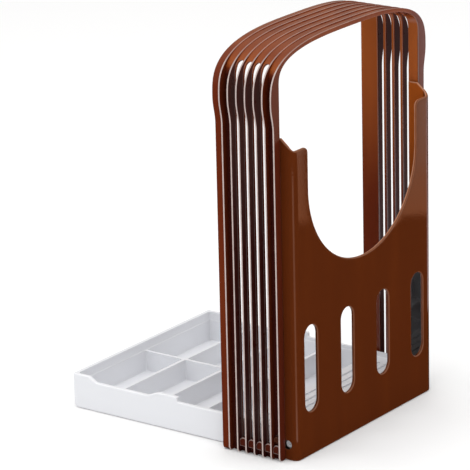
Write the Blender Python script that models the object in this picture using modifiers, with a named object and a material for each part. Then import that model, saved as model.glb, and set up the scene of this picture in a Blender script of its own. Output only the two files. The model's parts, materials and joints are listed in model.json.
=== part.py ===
"""Folding bread slicer: a finned guide frame, a stop plate, a fold-up base tray and its hinge pins.

The frame is an arch of seven thin fins.  The gaps between the middle fins are the knife slots.  The
stop plate nests between the walls in front, and the tray swings on two pins, from lying on the table
to standing inside the frame.  X runs from wall to wall, +Y runs from the stop plate to the tray's far
end, and +Z is up.  Lengths are in metres, and the origin is below the middle of the whole object.
"""

import math

import bmesh
import bpy

MM = 0.001

# Clearances
FIT_GAP = 0.3 * MM            # between pieces that touch, and around the pins
FOLD_GAP = 0.75 * MM          # between the folded tray's edges and the stop plate
NOSE_GAP = 0.55 * MM          # between the tray's round nose and the stop plate

# Guide frame
FRAME_HEIGHT = 240.0 * MM
FIN_COUNT = 7
FIN_THICKNESS = 0.9 * MM
FIN_PITCH = 5.8 * MM
FIN_FOOT_RADIUS = 2.5 * MM    # rounding of each fin's outer lower corner
WALL_DEPTH = 5.7 * MM         # from a wall's inner face to the fins' edges, below the handle
REAR_RIM_DEPTH = 4.75 * MM    # behind the middle of the last fin
SKIN_THICKNESS = 1.7 * MM
RIM_STEP = 0.4 * MM           # how far the rear rim stays inside the fins' edges

# Handle
HANDLE_BULGE = 2.2 * MM       # each side, past the fins of the walls
HANDLE_RISE = 31.0 * MM       # height of the curved crown, over the fins
HANDLE_BLEND = 16.0 * MM      # height over which the walls swell out to the handle
CROWN_EXPONENT = 3.0          # superellipse of the crown
CROWN_SKIN = 2.0 * MM
CROWN_RIB = 0.6 * MM          # height of the fins on top of the crown
INNER_RISE = 20.0 * MM        # height of the rounded part of the opening

# Knife slots
SLOT_SIDE_GAP = 0.1 * MM      # a slot is this much narrower than its gap, on each side
SLOT_BOTTOM = 6.0 * MM
SLOT_HEADROOM = 11.5 * MM     # from a slot's top to the top of the frame
SLOT_FIRST_GAP = 1            # gaps are counted from the front, from 0
SLOT_COUNT = 4
SILL_TOP = 8.9 * MM           # rounded bridge at the foot of each gap
SILL_BOTTOM = 3.6 * MM
SILL_DEPTH = 3.2 * MM         # how far a sill stands out from the skin's middle

# Stop plate
PLATE_WIDTH = 140.0 * MM
PLATE_STANDOFF = 8.2 * MM     # its face, in front of the frame
PLATE_THICKNESS = 2.0 * MM
PLATE_CORNER = 3.5 * MM
FLANGE_THICKNESS = 1.8 * MM
FLANGE_SETBACK = 0.8 * MM     # from the flange's rear edge to the first knife slot
SHOULDER_HEIGHT = 188.6 * MM  # at the frame
HORN_DROP = 6.8 * MM          # from the shoulders down to the horns at the front face
THROAT_HALF = 55.2 * MM       # half of the opening between the horns
THROAT_BOTTOM = 104.0 * MM
THROAT_CURVE = 53.0 * MM      # height of its rounded part
WINDOW_WIDTH = 12.8 * MM
WINDOW_BOTTOM = 26.0 * MM
WINDOW_HEIGHT = 51.6 * MM
WINDOW_PITCH = 36.6 * MM
WINDOW_COUNT = 4

# Base tray
TRAY_REACH = 154.4 * MM       # its far end, behind the frame's front face
TRAY_WALL = 2.2 * MM
TRAY_FLOOR = 2.2 * MM
TRAY_LOW_EDGE = 17.9 * MM
TRAY_HIGH_EDGE = 21.0 * MM
TRAY_END_RADIUS = 3.0 * MM
END_TAB_LENGTH = 10.4 * MM    # raised tab at the far end
END_TAB_RAMP = 7.0 * MM
MID_TAB_FROM = 79.0 * MM      # raised tab in the middle of each side
MID_TAB_LENGTH = 12.0 * MM
MID_TAB_RAMP = 10.5 * MM
MID_TAB_STEP = 1.8 * MM
DECK_TOP = 15.2 * MM          # the cutting deck and the tops of the ribs
DECK_MARGIN = 6.65 * MM       # behind the middle of the last knife slot
DECK_THICKNESS = 2.2 * MM
NOSE_WALL = 4.15 * MM         # at the pins' height; it thins where the nose curves away
KNIFE_GROOVE_WIDTH = 1.6 * MM
KNIFE_GROOVE_DEPTH = 0.9 * MM
CELL_ROWS = 4
CELL_COLUMNS = 2
RIB_THICKNESS = 1.8 * MM

# Hinge pins
PIN_RADIUS = 2.0 * MM
PIN_HEAD_RADIUS = 2.1 * MM
PIN_HEAD_LENGTH = 2.4 * MM
PIN_CHAMFER = 0.4 * MM
PIN_COLLAR_RADIUS = 3.0 * MM
PIN_COLLAR_LENGTH = 1.6 * MM
PIN_POCKET_LENGTH = 6.0 * MM  # along the pin, inside the tray's wall
PIN_POCKET_GAP = 1.0 * MM     # round the collar

# Round hole in each flange, with a dimple behind it in the tray's side
SIGHT_SETBACK = 4.65 * MM     # from the hinge pin towards the plate
SIGHT_DROP = 3.2 * MM         # below the hinge pin
SIGHT_HOLE_RADIUS = 2.75 * MM
DIMPLE_RADIUS = 0.9 * MM
DIMPLE_DEPTH = 1.2 * MM

# Worked out from the sizes above
PLATE_HALF = PLATE_WIDTH / 2
WALL_INNER_HALF = PLATE_HALF + FIT_GAP
FRAME_HALF = WALL_INNER_HALF + WALL_DEPTH
HANDLE_HALF = FRAME_HALF + HANDLE_BULGE
SKIN_MIDDLE = WALL_INNER_HALF + SKIN_THICKNESS / 2
FRAME_DEPTH = FIN_THICKNESS / 2 + (FIN_COUNT - 1) * FIN_PITCH + REAR_RIM_DEPTH
GAP_WIDTH = FIN_PITCH - FIN_THICKNESS
SLOT_HALF = GAP_WIDTH / 2 - SLOT_SIDE_GAP
SLOT_TOP = FRAME_HEIGHT - SLOT_HEADROOM
HORN_HEIGHT = SHOULDER_HEIGHT - HORN_DROP
FIRST_SLOT = FIN_THICKNESS / 2 + (SLOT_FIRST_GAP + 0.5) * FIN_PITCH
FLANGE_REACH = FIRST_SLOT - SLOT_HALF - FLANGE_SETBACK     # behind the frame's front face
DECK_END = FIRST_SLOT + (SLOT_COUNT - 1) * FIN_PITCH + DECK_MARGIN
FLANGE_INNER_HALF = PLATE_HALF - FLANGE_THICKNESS
TRAY_HALF = FLANGE_INNER_HALF - FIT_GAP
PIN_Y = FIN_THICKNESS + GAP_WIDTH / 2     # in the middle of the front gap
PLATE_CLEARANCE = PIN_Y + PLATE_STANDOFF - PLATE_THICKNESS
PIN_HEIGHT = TRAY_HIGH_EDGE + FOLD_GAP - PLATE_CLEARANCE
TRAY_NOSE_RADIUS = PLATE_CLEARANCE - NOSE_GAP
DECK_START = PIN_Y - TRAY_NOSE_RADIUS + NOSE_WALL
SIGHT_Y = PIN_Y - SIGHT_SETBACK
SIGHT_HEIGHT = PIN_HEIGHT - SIGHT_DROP
ORIGIN_Y = (TRAY_REACH - PLATE_STANDOFF) / 2
OVERCUT = 2.0 * MM                        # how far a cutter runs past what it cuts
LEAST_RADIUS = 0.5 * MM                   # of the plate's inner corners
WELD_DISTANCE = 0.001 * MM
SHARP_ANGLE = 30                          # degrees; edges that bend more stay sharp
ARC_STEPS = 8
CROWN_STEPS = 14
THROAT_STEPS = 24
ROUND_SIDES = 24                          # of pins and bores
DIMPLE_SIDES = 16


def clear_scene():
    """Remove every object and the collections left from another run."""
    for old in list(bpy.data.objects):
        bpy.data.objects.remove(old, do_unlink=True)
    for group in list(bpy.data.collections):
        bpy.data.collections.remove(group)


def new_collection(name):
    """Return a new collection linked to the scene."""
    group = bpy.data.collections.new(name)
    bpy.context.scene.collection.children.link(group)
    return group


def plastic(name, colour, roughness):
    """Return a moulded plastic material."""
    material = bpy.data.materials.new(name)
    material.use_nodes = True
    shader = material.node_tree.nodes["Principled BSDF"]
    shader.inputs["Base Color"].default_value = (*colour, 1.0)
    shader.inputs["Roughness"].default_value = roughness
    shader.inputs["Metallic"].default_value = 0.0
    material.diffuse_color = (*colour, 1.0)
    return material


def arc(centre, radius, start, end, steps=ARC_STEPS):
    """Return points along an arc; the angles are in degrees from the first axis."""
    points = []
    for index in range(steps + 1):
        angle = math.radians(start + (end - start) * index / steps)
        points.append((centre[0] + radius * math.cos(angle), centre[1] + radius * math.sin(angle)))
    return points


def smooth_step(low, high, count):
    """Return points of a half-cosine step from low = (along, across) to high, both ends included."""
    points = []
    for index in range(count + 1):
        share = index / count
        ease = 0.5 - 0.5 * math.cos(math.pi * share)
        points.append((low[0] + (high[0] - low[0]) * share, low[1] + (high[1] - low[1]) * ease))
    return points


def crown(half_width, base, rise):
    """Return a superellipse from the right springing over the top to the left one."""
    points = []
    power = 2.0 / CROWN_EXPONENT
    for index in range(2 * CROWN_STEPS + 1):
        angle = math.pi * index / (2 * CROWN_STEPS)
        across = math.cos(angle)
        up = max(math.sin(angle), 0.0)
        points.append((math.copysign(half_width * abs(across) ** power, across), base + rise * up ** power))
    return points


def mirrored(points):
    """Return the points mirrored across X = 0, in reverse order."""
    return [(-across, up) for across, up in reversed(points)]


PLANE_TURNS = {
    "XZ": (math.pi / 2, 0.0, 0.0),
    "YZ": (math.pi / 2, 0.0, math.pi / 2),
    "XY": (0.0, 0.0, 0.0),
}


def outline_solid(name, plane, points, low, high):
    """Return a mesh object: a flat outline in the named plane, drawn out from low to high.

    Y values are measured from the frame's front face, here and in every other function.
    """
    curve = bpy.data.curves.new(name, "CURVE")
    curve.dimensions = "2D"
    curve.fill_mode = "BOTH"
    curve.extrude = (high - low) / 2
    spline = curve.splines.new("POLY")
    spline.points.add(len(points) - 1)
    for point, (first, second) in zip(spline.points, points):
        point.co = (first, second, 0.0, 1.0)
    spline.use_cyclic_u = True
    guide = bpy.data.objects.new(name + "_outline", curve)
    guide.rotation_euler = PLANE_TURNS[plane]
    middle = (low + high) / 2
    guide.location = {
        "XZ": (0.0, middle - ORIGIN_Y, 0.0),
        "YZ": (middle, -ORIGIN_Y, 0.0),
        "XY": (0.0, -ORIGIN_Y, middle),
    }[plane]
    bpy.context.scene.collection.objects.link(guide)
    bpy.context.view_layer.update()
    evaluated = guide.evaluated_get(bpy.context.evaluated_depsgraph_get())
    mesh = bpy.data.meshes.new_from_object(evaluated)
    weld(mesh)
    solid = bpy.data.objects.new(name, mesh)
    solid.matrix_world = guide.matrix_world.copy()
    bpy.data.objects.remove(guide, do_unlink=True)
    bpy.data.curves.remove(curve)
    return solid


def weld(mesh):
    """Merge the loose caps of a filled outline and turn its faces outwards."""
    shape = bmesh.new()
    shape.from_mesh(mesh)
    bmesh.ops.remove_doubles(shape, verts=shape.verts, dist=WELD_DISTANCE)
    bmesh.ops.recalc_face_normals(shape, faces=shape.faces)
    shape.to_mesh(mesh)
    shape.free()


def cylinder(name, axis_y, axis_z, radius, low, high, sides=ROUND_SIDES):
    """Return a round bar along X, from low to high."""
    shape = bmesh.new()
    bmesh.ops.create_cone(shape, cap_ends=True, segments=sides, radius1=radius, radius2=radius,
                          depth=high - low)
    mesh = bpy.data.meshes.new(name)
    shape.to_mesh(mesh)
    shape.free()
    solid = bpy.data.objects.new(name, mesh)
    solid.rotation_euler = (0.0, math.pi / 2, 0.0)
    solid.location = ((low + high) / 2, axis_y - ORIGIN_Y, axis_z)
    return solid


def block(name, low, high):
    """Return a box between two corners."""
    shape = bmesh.new()
    bmesh.ops.create_cube(shape, size=1.0)
    for vertex in shape.verts:
        for axis in range(3):
            vertex.co[axis] = low[axis] + (vertex.co[axis] + 0.5) * (high[axis] - low[axis])
    mesh = bpy.data.meshes.new(name)
    shape.to_mesh(mesh)
    shape.free()
    solid = bpy.data.objects.new(name, mesh)
    solid.location = (0.0, -ORIGIN_Y, 0.0)
    return solid


def joined(name, solids):
    """Join separate solids into one cutter or one set of additions."""
    bpy.context.view_layer.update()
    shape = bmesh.new()
    for solid in solids:
        piece = bmesh.new()
        piece.from_mesh(solid.data)
        piece.transform(solid.matrix_basis)
        mesh = bpy.data.meshes.new(name + "_piece")
        piece.to_mesh(mesh)
        piece.free()
        shape.from_mesh(mesh)
        bpy.data.meshes.remove(mesh)
        bpy.data.objects.remove(solid, do_unlink=True)
    mesh = bpy.data.meshes.new(name)
    shape.to_mesh(mesh)
    shape.free()
    return bpy.data.objects.new(name, mesh)


def combine(target, tool, operation, tools):
    """Add a Boolean modifier to the target, and keep its tool hidden among the cutters."""
    tools.objects.link(tool)
    tool.hide_render = True
    tool.display_type = "WIRE"
    step = target.modifiers.new(tool.name, "BOOLEAN")
    step.operation = operation
    step.object = tool


def finish(solid, material, parts):
    """Link a finished piece and give it its material."""
    parts.objects.link(solid)
    solid.data.materials.clear()
    solid.data.materials.append(material)
    solid.data.shade_smooth()
    solid.data.set_sharp_from_angle(angle=math.radians(SHARP_ANGLE))


def fin_centre(index):
    """Return how far a fin's middle lies behind the frame's front face; 0 is the front fin."""
    return FIN_THICKNESS / 2 + index * FIN_PITCH


def gap_centre(index):
    """Return the middle of the gap behind a fin."""
    return fin_centre(index) + FIN_PITCH / 2


def outer_profile(inset):
    """Return the outside of the arch over the fins, from the right foot to the left foot."""
    half = FRAME_HALF - inset
    spring = FRAME_HEIGHT - HANDLE_RISE
    foot = arc((half - FIN_FOOT_RADIUS, FIN_FOOT_RADIUS), FIN_FOOT_RADIUS, -90, 0, 4)
    swell = smooth_step((spring - HANDLE_BLEND, half), (spring, HANDLE_HALF - inset), 6)
    side = foot + [(across, up) for up, across in swell][:-1]
    return side + crown(HANDLE_HALF - inset, spring, HANDLE_RISE - inset) + mirrored(side)


def inner_profile():
    """Return the opening of the arch, from the left foot to the right foot."""
    top = FRAME_HEIGHT - CROWN_RIB - CROWN_SKIN
    right = [(WALL_INNER_HALF, 0.0)]
    over = right + crown(WALL_INNER_HALF, top - INNER_RISE, INNER_RISE) + mirrored(right)
    return list(reversed(over))


def skin_profile(half, top):
    """Return an arch line within the skin, from the right foot to the left foot."""
    rise = top - (FRAME_HEIGHT - CROWN_RIB - CROWN_SKIN - INNER_RISE)
    right = [(half, 0.0)]
    return right + crown(half, top - rise, rise) + mirrored(right)


def make_slicing_frame(parts, tools, material):
    """Build the guide frame: an arched skin, seven fins, a rear rim, sills and knife slots."""
    crown_top = FRAME_HEIGHT - CROWN_RIB
    skin_outline = skin_profile(WALL_INNER_HALF + SKIN_THICKNESS, crown_top) + inner_profile()
    frame = outline_solid("slicing_frame", "XZ", skin_outline, 0.0, FRAME_DEPTH)

    slots = []
    for index in range(SLOT_FIRST_GAP, SLOT_FIRST_GAP + SLOT_COUNT):
        centre = gap_centre(index)
        outline = arc((centre, SLOT_BOTTOM + SLOT_HALF), SLOT_HALF, 180, 360)
        outline += arc((centre, SLOT_TOP - SLOT_HALF), SLOT_HALF, 0, 180)
        slots.append(outline_solid("slot", "YZ", outline, -HANDLE_HALF - OVERCUT, HANDLE_HALF + OVERCUT))
    combine(frame, joined("knife_slot_cutters", slots), "DIFFERENCE", tools)

    root = list(reversed(skin_profile(SKIN_MIDDLE, crown_top - CROWN_SKIN / 2)))
    fins = []
    for index in range(FIN_COUNT):
        centre = fin_centre(index)
        fins.append(outline_solid("fin", "XZ", outer_profile(0.0) + root,
                                  centre - FIN_THICKNESS / 2, centre + FIN_THICKNESS / 2))
    combine(frame, joined("guide_fins", fins), "UNION", tools)

    rim = outline_solid("rear_rim", "XZ", outer_profile(RIM_STEP) + root,
                        fin_centre(FIN_COUNT - 1), FRAME_DEPTH)
    combine(frame, rim, "UNION", tools)

    sills = []
    sill_half = GAP_WIDTH / 2 + SLOT_SIDE_GAP
    for index in range(SLOT_COUNT + SLOT_FIRST_GAP):
        centre = gap_centre(index)
        outline = [(centre - sill_half, SILL_BOTTOM), (centre + sill_half, SILL_BOTTOM)]
        outline += arc((centre, SILL_TOP - sill_half), sill_half, 0, 180)
        for side in (-1, 1):
            edges = sorted((side * SKIN_MIDDLE, side * (SKIN_MIDDLE + SILL_DEPTH)))
            sills.append(outline_solid("sill", "YZ", outline, *edges))
    combine(frame, joined("slot_sills", sills), "UNION", tools)

    reach = SKIN_MIDDLE + SKIN_THICKNESS
    hole = cylinder("frame_pin_hole", PIN_Y, PIN_HEIGHT, PIN_RADIUS + FIT_GAP, -reach, reach)
    combine(frame, hole, "DIFFERENCE", tools)
    finish(frame, material, parts)
    return frame


def stop_plate_plan():
    """Return the plate's section: a channel with rounded front corners, seen from above."""
    outer = PLATE_HALF
    inner = FLANGE_INNER_HALF
    front = -PLATE_STANDOFF
    inner_radius = max(PLATE_CORNER - PLATE_THICKNESS, LEAST_RADIUS)
    back = front + PLATE_THICKNESS
    outline = [(-outer, FLANGE_REACH)]
    outline += arc((-outer + PLATE_CORNER, front + PLATE_CORNER), PLATE_CORNER, 180, 270, 6)
    outline += arc((outer - PLATE_CORNER, front + PLATE_CORNER), PLATE_CORNER, 270, 360, 6)
    outline += [(outer, FLANGE_REACH), (inner, FLANGE_REACH)]
    outline += arc((inner - inner_radius, back + inner_radius), inner_radius, 360, 270, 3)
    outline += arc((-inner + inner_radius, back + inner_radius), inner_radius, 270, 180, 3)
    outline += [(-inner, FLANGE_REACH)]
    return outline


def make_stop_plate(parts, tools, material):
    """Build the stop plate: a channel with a throat for the hand, four windows and side flanges."""
    plate = outline_solid("stop_plate", "XY", stop_plate_plan(), 0.0, SHOULDER_HEIGHT)
    front = -PLATE_STANDOFF - OVERCUT
    behind = -PLATE_STANDOFF + PLATE_THICKNESS + FIT_GAP

    curve_top = THROAT_BOTTOM + THROAT_CURVE
    outline = []
    for index in range(THROAT_STEPS + 1):
        angle = math.pi * index / THROAT_STEPS
        outline.append((-THROAT_HALF * math.cos(angle), curve_top - THROAT_CURVE * math.sin(angle)))
    outline += [(THROAT_HALF, SHOULDER_HEIGHT + OVERCUT), (-THROAT_HALF, SHOULDER_HEIGHT + OVERCUT)]
    combine(plate, outline_solid("throat_cutter", "XZ", outline, front, behind), "DIFFERENCE", tools)

    windows = []
    radius = WINDOW_WIDTH / 2
    for index in range(WINDOW_COUNT):
        centre = (index - (WINDOW_COUNT - 1) / 2) * WINDOW_PITCH
        outline = arc((centre, WINDOW_BOTTOM + radius), radius, 180, 360)
        outline += arc((centre, WINDOW_BOTTOM + WINDOW_HEIGHT - radius), radius, 0, 180)
        windows.append(outline_solid("window", "XZ", outline, front, behind))
    combine(plate, joined("window_cutters", windows), "DIFFERENCE", tools)

    slope = (SHOULDER_HEIGHT - HORN_HEIGHT) / PLATE_STANDOFF
    outline = [(front, HORN_HEIGHT - slope * OVERCUT), (0.0, SHOULDER_HEIGHT),
               (0.0, SHOULDER_HEIGHT + OVERCUT), (front, SHOULDER_HEIGHT + OVERCUT)]
    shoulder = outline_solid("shoulder_cutter", "YZ", outline, -PLATE_HALF - OVERCUT, PLATE_HALF + OVERCUT)
    combine(plate, shoulder, "DIFFERENCE", tools)

    reach = PLATE_HALF + OVERCUT
    holes = [
        cylinder("pin_hole", PIN_Y, PIN_HEIGHT, PIN_RADIUS + FIT_GAP, -reach, reach),
        cylinder("sight_hole", SIGHT_Y, SIGHT_HEIGHT, SIGHT_HOLE_RADIUS, -reach, reach),
    ]
    combine(plate, joined("flange_hole_cutters", holes), "DIFFERENCE", tools)
    finish(plate, material, parts)
    return plate


def tray_side():
    """Return the tray's side outline, from its nose along the table and back over its edge."""
    start = math.degrees(math.asin((TRAY_LOW_EDGE - PIN_HEIGHT) / TRAY_NOSE_RADIUS))
    outline = arc((PIN_Y, PIN_HEIGHT), TRAY_NOSE_RADIUS, 180 - start, 270, 12)
    outline += [(PIN_Y + PIN_RADIUS, 0.0)]
    outline += arc((TRAY_REACH - TRAY_END_RADIUS, TRAY_END_RADIUS), TRAY_END_RADIUS, -90, 0, 6)
    outline += [(TRAY_REACH, TRAY_HIGH_EDGE)]
    end_tab = TRAY_REACH - END_TAB_LENGTH
    outline += list(reversed(smooth_step((end_tab - END_TAB_RAMP, TRAY_LOW_EDGE),
                                         (end_tab, TRAY_HIGH_EDGE), 6)))
    mid_end = MID_TAB_FROM + MID_TAB_LENGTH
    outline += smooth_step((mid_end + MID_TAB_RAMP, TRAY_LOW_EDGE), (mid_end, TRAY_HIGH_EDGE), 6)
    outline += list(reversed(smooth_step((MID_TAB_FROM - MID_TAB_STEP, TRAY_LOW_EDGE),
                                         (MID_TAB_FROM, TRAY_HIGH_EDGE), 4)))
    return outline


def tray_cutters():
    """Return the tray's cutters: the trough, the cells and pin pockets, the grooves and the hollows below."""
    inner = TRAY_HALF - TRAY_WALL
    above = TRAY_HIGH_EDGE + OVERCUT
    back = TRAY_REACH - TRAY_WALL
    trough = block("trough", (-inner, DECK_START, DECK_TOP), (inner, back, above))

    wells = []
    pocket = PIN_COLLAR_RADIUS + PIN_POCKET_GAP
    for side in (-1, 1):
        edges = sorted((side * (inner - FIT_GAP / 2), side * (inner - PIN_POCKET_LENGTH)))
        wells.append(block("pocket", (edges[0], PIN_Y - pocket, PIN_HEIGHT - pocket),
                           (edges[1], PIN_Y + pocket, above)))
    row_pitch = (back - FIT_GAP - DECK_END + RIB_THICKNESS) / CELL_ROWS
    column_pitch = (2 * (inner - FIT_GAP) + RIB_THICKNESS) / CELL_COLUMNS
    for row in range(CELL_ROWS):
        for column in range(CELL_COLUMNS):
            near = DECK_END + row * row_pitch
            left = -inner + FIT_GAP + column * column_pitch
            far = (left + column_pitch - RIB_THICKNESS, near + row_pitch - RIB_THICKNESS, above)
            wells.append(block("well", (left, near, TRAY_FLOOR), far))

    grooves = []
    for index in range(SLOT_FIRST_GAP, SLOT_FIRST_GAP + SLOT_COUNT):
        centre = gap_centre(index)
        grooves.append(block("groove", (-inner + PIN_POCKET_LENGTH + RIB_THICKNESS,
                                        centre - KNIFE_GROOVE_WIDTH / 2, DECK_TOP - KNIFE_GROOVE_DEPTH),
                             (inner - PIN_POCKET_LENGTH - RIB_THICKNESS,
                              centre + KNIFE_GROOVE_WIDTH / 2, above)))

    roof = DECK_TOP - DECK_THICKNESS
    nose_half = inner - PIN_POCKET_LENGTH - TRAY_WALL
    hollows = [
        block("nose_hollow", (-nose_half, DECK_START, -OVERCUT), (nose_half, PIN_Y + pocket, roof)),
        block("deck_hollow", (-inner, PIN_Y + pocket + TRAY_WALL, -OVERCUT),
              (inner, DECK_END - TRAY_WALL, roof)),
    ]
    return (trough, joined("tray_wells", wells), joined("knife_grooves", grooves),
            joined("tray_hollows", hollows))


def make_base_tray(parts, tools, material):
    """Build the base tray: a walled tray with a cutting deck, ribs and a round nose at the pins."""
    tray = outline_solid("base_tray", "YZ", tray_side(), -TRAY_HALF, TRAY_HALF)
    for cutter in tray_cutters():
        combine(tray, cutter, "DIFFERENCE", tools)
    holes = []
    for side in (-1, 1):
        outside = side * (TRAY_HALF + OVERCUT)
        in_pocket = side * (TRAY_HALF - TRAY_WALL - PIN_POCKET_LENGTH / 2)
        holes.append(cylinder("bore", PIN_Y, PIN_HEIGHT, PIN_RADIUS + FIT_GAP,
                              *sorted((in_pocket, outside))))
        holes.append(cylinder("dimple", SIGHT_Y, SIGHT_HEIGHT, DIMPLE_RADIUS,
                              *sorted((side * (TRAY_HALF - DIMPLE_DEPTH), outside)), sides=DIMPLE_SIDES))
    combine(tray, joined("tray_hole_cutters", holes), "DIFFERENCE", tools)
    finish(tray, material, parts)
    return tray


def make_hinge_pin(name, side, parts, material):
    """Build one hinge pin: a shaft with a head in the frame's front gap and a collar in the tray."""
    collar_face = TRAY_HALF - TRAY_WALL - FIT_GAP
    collar_end = collar_face - PIN_COLLAR_LENGTH
    head_face = WALL_INNER_HALF + SKIN_THICKNESS + FIT_GAP
    head_end = head_face + PIN_HEAD_LENGTH
    profile = [(head_end, 0.0), (head_end, PIN_HEAD_RADIUS - PIN_CHAMFER),
               (head_end - PIN_CHAMFER, PIN_HEAD_RADIUS), (head_face, PIN_HEAD_RADIUS),
               (head_face, PIN_RADIUS), (collar_face, PIN_RADIUS), (collar_face, PIN_COLLAR_RADIUS),
               (collar_end, PIN_COLLAR_RADIUS), (collar_end, 0.0)]
    mesh = bpy.data.meshes.new(name)
    mesh.from_pydata([(radius, 0.0, along) for along, radius in profile],
                     [(index, index + 1) for index in range(len(profile) - 1)], [])
    pin = bpy.data.objects.new(name, mesh)
    pin.rotation_euler = (0.0, side * math.pi / 2, 0.0)
    pin.location = (0.0, PIN_Y - ORIGIN_Y, PIN_HEIGHT)
    turn = pin.modifiers.new("turn", "SCREW")
    turn.axis = "Z"
    turn.steps = ROUND_SIDES
    turn.render_steps = ROUND_SIDES
    turn.use_merge_vertices = True
    turn.merge_threshold = 0.01 * MM
    finish(pin, material, parts)
    return pin


def main():
    """Build every piece of the slicer."""
    clear_scene()
    parts = new_collection("bread_slicer")
    tools = new_collection("cutters")
    brown = plastic("brown_plastic", (0.115, 0.028, 0.010), 0.22)
    dark_brown = plastic("dark_brown_plastic", (0.095, 0.024, 0.008), 0.2)
    white = plastic("white_plastic", (0.82, 0.83, 0.85), 0.3)
    pin_brown = plastic("pin_plastic", (0.060, 0.018, 0.008), 0.3)

    make_slicing_frame(parts, tools, brown)
    make_stop_plate(parts, tools, dark_brown)
    tray = make_base_tray(parts, tools, white)
    make_hinge_pin("left_hinge_pin", -1, parts, pin_brown)
    make_hinge_pin("right_hinge_pin", 1, parts, pin_brown)

    hinge = bpy.data.objects.new("tray_hinge", None)
    hinge.location = (0.0, PIN_Y - ORIGIN_Y, PIN_HEIGHT)
    parts.objects.link(hinge)
    bpy.context.view_layer.update()
    placed = tray.matrix_world.copy()
    tray.parent = hinge
    tray.matrix_parent_inverse = hinge.matrix_world.inverted()
    tray.matrix_world = placed
    bpy.context.view_layer.update()


main()
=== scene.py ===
"""Looks of a folding bread slicer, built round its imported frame.

The arch, the stop plate, the base tray and the hinge pins are worked out again as fine surfaces with
rounded rims.  Lengths in this script are in millimetres, and Y is measured from the arch's front face.
"""

from __future__ import annotations

import json
import logging
import math
from collections.abc import Callable, Sequence
from dataclasses import dataclass, field, replace
from enum import Enum, IntEnum

import bpy
import numpy as np
from mathutils import Matrix, Vector
from mathutils.geometry import delaunay_2d_cdt

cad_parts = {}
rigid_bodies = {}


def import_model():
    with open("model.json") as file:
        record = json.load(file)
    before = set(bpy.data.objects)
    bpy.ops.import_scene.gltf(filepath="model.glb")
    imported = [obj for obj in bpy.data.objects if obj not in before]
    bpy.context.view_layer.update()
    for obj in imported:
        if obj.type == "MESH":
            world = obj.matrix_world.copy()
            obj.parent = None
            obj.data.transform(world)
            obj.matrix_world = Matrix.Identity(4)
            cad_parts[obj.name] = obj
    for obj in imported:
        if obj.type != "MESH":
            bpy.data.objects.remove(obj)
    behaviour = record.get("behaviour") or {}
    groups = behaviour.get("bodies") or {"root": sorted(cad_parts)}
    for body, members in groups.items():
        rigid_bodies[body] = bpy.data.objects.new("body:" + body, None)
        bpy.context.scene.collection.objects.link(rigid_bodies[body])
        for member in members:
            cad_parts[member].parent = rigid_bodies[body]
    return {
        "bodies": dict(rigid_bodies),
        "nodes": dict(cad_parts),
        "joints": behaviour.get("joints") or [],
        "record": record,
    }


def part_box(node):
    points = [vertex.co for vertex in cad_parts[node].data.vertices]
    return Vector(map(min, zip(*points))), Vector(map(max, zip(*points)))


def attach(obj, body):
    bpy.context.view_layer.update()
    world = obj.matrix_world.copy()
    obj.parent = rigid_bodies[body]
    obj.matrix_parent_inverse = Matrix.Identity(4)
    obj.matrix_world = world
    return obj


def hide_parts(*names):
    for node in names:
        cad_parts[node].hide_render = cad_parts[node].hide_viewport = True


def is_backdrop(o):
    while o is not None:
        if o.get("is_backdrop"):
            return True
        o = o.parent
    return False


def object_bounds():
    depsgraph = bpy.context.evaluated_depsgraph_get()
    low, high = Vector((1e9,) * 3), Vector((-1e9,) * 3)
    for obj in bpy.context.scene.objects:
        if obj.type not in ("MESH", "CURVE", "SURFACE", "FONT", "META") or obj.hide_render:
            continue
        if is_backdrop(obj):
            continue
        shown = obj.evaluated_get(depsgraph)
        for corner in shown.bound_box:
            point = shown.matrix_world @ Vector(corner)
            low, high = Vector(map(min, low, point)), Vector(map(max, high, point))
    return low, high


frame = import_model()

LOG = logging.getLogger("bread_slicer")
MM = 0.001
FRONT_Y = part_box("slicing_frame")[0].y
SHIFT = np.array([0.0, FRONT_Y / MM, 0.0])      # added to a point, gives its place in the frame
Pair = tuple[float, float]
Triple = tuple[float, float, float]
Colour = tuple[float, float, float]
Stops = tuple[tuple[float, Colour], ...]
Place = Callable[[np.ndarray, np.ndarray], np.ndarray]
BLACK: Colour = (0.0, 0.0, 0.0)
WHITE: Colour = (1.0, 1.0, 1.0)
PIN_AXIS: Pair = (3.35, 12.2)      # the hinge's axis, as (y, height)
PIN_BORE = 2.3                     # radius of the holes round the pins
SIGHT_AXIS: Pair = (-1.3, 9.0)     # the axis of the flanges' sight holes and of the tray's dimples
SHARP = 40.0                       # a bend of more degrees stays a sharp edge
CUT_SHARP = 30.0                   # the same on a piece that was cut
ROOM_SHARE = 0.45                  # of a gap, which a rim may take, and which fill points keep from a loop
WELD = 1e-6                        # points nearer than this are one
FINE_STEPS = 40                    # fine steps to each even step of a superellipse


class Body(Enum):
    """The bodies of the frame that pieces ride on."""

    FRAME = "frame"
    TRAY = "tray"


class Slot(Enum):
    """The record's material slots."""

    FRAME = "frame_plastic"
    PLATE = "plate_plastic"
    TRAY = "tray_plastic"
    PIN = "pin_plastic"


class Axis(IntEnum):
    """The axes, by their places in a row of coordinates."""

    X = 0
    Y = 1
    Z = 2


def local_box(node: str) -> tuple[np.ndarray, np.ndarray]:
    """Return a node's corners in this script's units.

    Args:
        node: The CAD node's name.

    Returns:
        The lowest and the highest corner, with Y from the arch's front face.
    """
    low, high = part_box(node)
    return np.array(low) / MM - SHIFT, np.array(high) / MM - SHIFT


# Outlines


def lengths(line: np.ndarray) -> np.ndarray:
    """Return each point's distance along a line, from its first point."""
    return np.concatenate([[0], np.cumsum(np.linalg.norm(np.diff(line, axis=0), axis=1))])


def follow(distance: np.ndarray, along: np.ndarray, line: np.ndarray) -> np.ndarray:
    """Return the points of a line at some distances along it, from its own points' distances."""
    return np.stack([np.interp(distance, along, line[:, i]) for i in range(2)], axis=1)


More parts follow.
